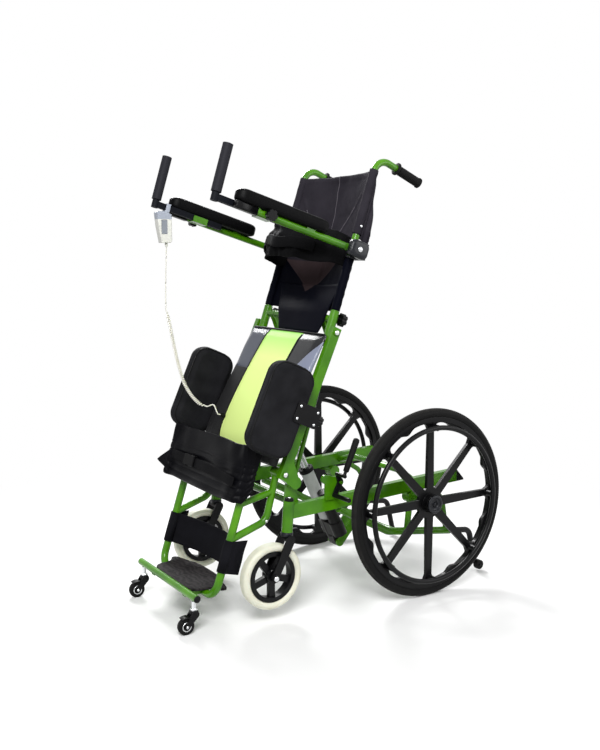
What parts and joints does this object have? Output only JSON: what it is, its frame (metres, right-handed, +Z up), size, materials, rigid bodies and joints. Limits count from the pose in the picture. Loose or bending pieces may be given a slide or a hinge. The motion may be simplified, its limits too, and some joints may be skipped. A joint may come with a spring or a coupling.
{
  "type": "standing wheelchair",
  "caption": "Green-framed standing wheelchair raised upright, with a lime cushion, thigh pads, arm rests with hand posts, a corded handset and a footrest on casters.",
  "frame": {"origin": "on the floor, midway between the drive wheels and midway along the chair's length", "axes": "+Z up, -Y is the way the chair faces, +X is the user's left"},
  "size_m": [0.7188, 1.1414, 1.3986],
  "materials": {
    "green_paint": "gloss powder coat",
    "black_paint": "satin powder coat",
    "black_plastic": "moulded",
    "white_plastic": "moulded",
    "black_cloth": "woven",
    "lime_cloth": "coated cloth",
    "black_skin": "soft-moulded skin",
    "black_tyre": "moulded",
    "cream_rubber": "moulded",
    "black_rubber": "moulded",
    "steel": "brushed",
    "lift_case": "anodised"
  },
  "bodies": {
    "chassis": {"side_frame_l": "green_paint", "side_frame_r": "green_paint", "cross_tubes": "green_paint", "antitip_tubes": "black_paint", "rail_end_caps": "black_plastic"},
    "seat": {"seat_rails": "green_paint", "seat_cross_tubes": "green_paint", "seat_cushion": "lime_cloth", "control_box": "black_plastic", "cord_gland": "black_rubber", "handset_cord": "white_plastic"},
    "back_base": {"back_sleeves": "green_paint"},
    "backrest": {"back_tubes": "green_paint", "push_grips": "black_rubber", "back_sling": "black_cloth", "chest_belt": "black_cloth", "arm_blocks": "black_plastic"},
    "legrest": {"leg_frame": "green_paint", "caster_bar": "green_paint", "footplate": "black_rubber", "calf_panel": "black_cloth", "knee_belt": "black_cloth"},
    "links": {"back_links": "green_paint"},
    "actuator_barrel": {"actuator_barrel": "lift_case"},
    "actuator_rod": {"actuator_rod": "steel"},
    "antitip": {"antitip_wheels": "black_rubber"},
    "rocker": {"handset_rocker": "white_plastic"},
    "height_knob_l": {"height_knob_l": "black_plastic"},
    "thigh_l": {"thigh_bracket_l": "black_paint", "thigh_pad_l": "black_cloth"},
    "thigh_knob_l": {"thigh_knob_l": "black_plastic"},
    "arm_l": {"arm_tube_l": "green_paint", "arm_pad_l": "black_skin"},
    "arm_knob_l": {"arm_knob_l": "black_plastic"},
    "grip_l": {"grip_bar_l": "black_paint"},
    "foot_fork_l": {"foot_caster_fork_l": "black_plastic"},
    "foot_wheel_l": {"foot_caster_wheel_l": "black_rubber"},
    "caster_fork_l": {"caster_fork_l": "black_paint"},
    "caster_wheel_l": {"caster_rim_l": "black_plastic", "caster_tyre_l": "cream_rubber"},
    "rear_wheel_l": {"rear_rim_l": "black_plastic", "rear_tyre_l": "black_tyre"},
    "brake_l": {"brake_lever_l": "black_paint"},
    "height_knob_r": {"height_knob_r": "black_plastic"},
    "thigh_r": {"thigh_bracket_r": "black_paint", "thigh_pad_r": "black_cloth"},
    "thigh_knob_r": {"thigh_knob_r": "black_plastic"},
    "arm_r": {"arm_tube_r": "green_paint", "arm_pad_r": "black_skin"},
    "arm_knob_r": {"arm_knob_r": "black_plastic"},
    "grip_r": {"grip_bar_r": "black_paint", "handset": "white_plastic"},
    "foot_fork_r": {"foot_caster_fork_r": "black_plastic"},
    "foot_wheel_r": {"foot_caster_wheel_r": "black_rubber"},
    "caster_fork_r": {"caster_fork_r": "black_paint"},
    "caster_wheel_r": {"caster_rim_r": "black_plastic", "caster_tyre_r": "cream_rubber"},
    "rear_wheel_r": {"rear_rim_r": "black_plastic", "rear_tyre_r": "black_tyre"},
    "brake_r": {"brake_lever_r": "black_paint"}
  },
  "joints": [
    {"name": "seat_lift", "type": "hinge", "parent": "chassis", "child": "seat", "pos_m": [0, -0.19743, 0.41213], "axis": [-1, 0, 0], "range_deg": [0, 68], "deforming": ["handset_cord"]},
    {"name": "backrest_fold", "type": "hinge", "parent": "seat", "child": "back_base", "pos_m": [0, -0.05272, 0.85716], "axis": [-1, 0, 0], "range_deg": [-68, 0]},
    {"name": "leg_fold", "type": "hinge", "parent": "seat", "child": "legrest", "pos_m": [0, -0.23625, 0.443], "axis": [-1, 0, 0], "range_deg": [-53, 0]},
    {"name": "link_turn", "type": "hinge", "parent": "chassis", "child": "links", "pos_m": [0, -0.15743, 0.38212], "axis": [-1, 0, 0], "range_deg": [0, 68]},
    {"name": "actuator_turn", "type": "hinge", "parent": "chassis", "child": "actuator_barrel", "pos_m": [0, 0.11545, 0.1225], "axis": [-1, 0, 0], "range_deg": [0, 10.1]},
    {"name": "actuator_stroke", "type": "slide", "parent": "actuator_barrel", "child": "actuator_rod", "axis": [0, -0.4263, 0.9046], "range_m": [-0.2478, 0]},
    {"name": "back_height", "type": "slide", "parent": "back_base", "child": "backrest", "axis": [0, 0.3206, 0.9472], "range_m": [0, 0.03]},
    {"name": "height_knob_turn_l", "type": "hinge", "parent": "back_base", "child": "height_knob_l", "pos_m": [0.195, -0.01492, 0.89398], "axis": [0, 0.9472, -0.3206], "continuous": true},
    {"name": "thigh_slide_l", "type": "slide", "parent": "seat", "child": "thigh_l", "axis": [0, 0.4051, 0.9143], "range_m": [0, 0.03]},
    {"name": "thigh_knob_turn_l", "type": "hinge", "parent": "thigh_l", "child": "thigh_knob_l", "pos_m": [0.24375, -0.13542, 0.60067], "axis": [0, 0.9143, -0.4051], "continuous": true},
    {"name": "arm_lift_l", "type": "hinge", "parent": "backrest", "child": "arm_l", "pos_m": [0.222, 0.0199, 1.10601], "axis": [-1, 0, 0], "range_deg": [0, 60]},
    {"name": "arm_knob_turn_l", "type": "hinge", "parent": "arm_l", "child": "arm_knob_l", "pos_m": [0.238, -0.28836, 1.19908], "axis": [1, 0, 0], "continuous": true},
    {"name": "grip_reach_l", "type": "slide", "parent": "arm_l", "child": "grip_l", "axis": [0, -0.9573, 0.289], "range_m": [0, 0.04]},
    {"name": "foot_caster_swivel_l", "type": "hinge", "parent": "legrest", "child": "foot_fork_l", "pos_m": [0.178, -0.51525, 0.07], "axis": [0, 0, 1], "continuous": true},
    {"name": "foot_caster_roll_l", "type": "hinge", "parent": "foot_fork_l", "child": "foot_wheel_l", "pos_m": [0.178, -0.54225, 0.025], "axis": [1, 0, 0], "continuous": true},
    {"name": "caster_swivel_l", "type": "hinge", "parent": "chassis", "child": "caster_fork_l", "pos_m": [0.226, -0.22625, 0.266], "axis": [0, 0.0743, 0.9972], "continuous": true},
    {"name": "caster_roll_l", "type": "hinge", "parent": "caster_fork_l", "child": "caster_wheel_l", "pos_m": [0.226, -0.28365, 0.1395], "axis": [1, 0, 0], "continuous": true},
    {"name": "wheel_roll_l", "type": "hinge", "parent": "chassis", "child": "rear_wheel_l", "pos_m": [0.3154, 0.25475, 0.305], "axis": [1, 0, 0], "continuous": true},
    {"name": "brake_l", "type": "hinge", "parent": "chassis", "child": "brake_l", "pos_m": [0.248, -0.04525, 0.398], "axis": [1, 0, 0], "range_deg": [0, 18]},
    {"name": "height_knob_turn_r", "type": "hinge", "parent": "back_base", "child": "height_knob_r", "pos_m": [-0.195, -0.01492, 0.89398], "axis": [0, 0.9472, -0.3206], "continuous": true},
    {"name": "thigh_slide_r", "type": "slide", "parent": "seat", "child": "thigh_r", "axis": [0, 0.4051, 0.9143], "range_m": [0, 0.03]},
    {"name": "thigh_knob_turn_r", "type": "hinge", "parent": "thigh_r", "child": "thigh_knob_r", "pos_m": [-0.24375, -0.13542, 0.60067], "axis": [0, 0.9143, -0.4051], "continuous": true},
    {"name": "arm_lift_r", "type": "hinge", "parent": "backrest", "child": "arm_r", "pos_m": [-0.222, 0.0199, 1.10601], "axis": [-1, 0, 0], "range_deg": [0, 60]},
    {"name": "arm_knob_turn_r", "type": "hinge", "parent": "arm_r", "child": "arm_knob_r", "pos_m": [-0.238, -0.28836, 1.19908], "axis": [-1, 0, 0], "continuous": true},
    {"name": "grip_reach_r", "type": "slide", "parent": "arm_r", "child": "grip_r", "axis": [0, -0.9573, 0.289], "range_m": [0, 0.04]},
    {"name": "foot_caster_swivel_r", "type": "hinge", "parent": "legrest", "child": "foot_fork_r", "pos_m": [-0.178, -0.51525, 0.07], "axis": [0, 0, 1], "continuous": true},
    {"name": "foot_caster_roll_r", "type": "hinge", "parent": "foot_fork_r", "child": "foot_wheel_r", "pos_m": [-0.178, -0.54225, 0.025], "axis": [1, 0, 0], "continuous": true},
    {"name": "caster_swivel_r", "type": "hinge", "parent": "chassis", "child": "caster_fork_r", "pos_m": [-0.226, -0.22625, 0.266], "axis": [0, 0.0743, 0.9972], "continuous": true},
    {"name": "caster_roll_r", "type": "hinge", "parent": "caster_fork_r", "child": "caster_wheel_r", "pos_m": [-0.226, -0.28365, 0.1395], "axis": [1, 0, 0], "continuous": true},
    {"name": "wheel_roll_r", "type": "hinge", "parent": "chassis", "child": "rear_wheel_r", "pos_m": [-0.3154, 0.25475, 0.305], "axis": [1, 0, 0], "continuous": true},
    {"name": "brake_r", "type": "hinge", "parent": "chassis", "child": "brake_r", "pos_m": [-0.248, -0.04525, 0.398], "axis": [1, 0, 0], "range_deg": [0, 18]},
    {"name": "antitip_roll", "type": "hinge", "parent": "chassis", "child": "antitip", "pos_m": [0, 0.55475, 0.0225], "axis": [1, 0, 0], "continuous": true},
    {"name": "rocker_press", "type": "hinge", "parent": "grip_r", "child": "rocker", "pos_m": [-0.1885, -0.41769, 1.17726], "axis": [0, 1, 0], "range_deg": [-4, 4], "stiffness_Nm_per_rad": 0.5}
  ],
  "couplings": [
    {"joint": "backrest_fold", "follows": "seat_lift", "ratio": -1},
    {"joint": "leg_fold", "follows": "seat_lift", "ratio": -0.77941},
    {"joint": "link_turn", "follows": "seat_lift", "ratio": 1},
    {"joint": "actuator_turn", "follows": "seat_lift", "ratio": 0.1484},
    {"joint": "actuator_stroke", "follows": "seat_lift", "m_per_rad": -0.2086}
  ]
}
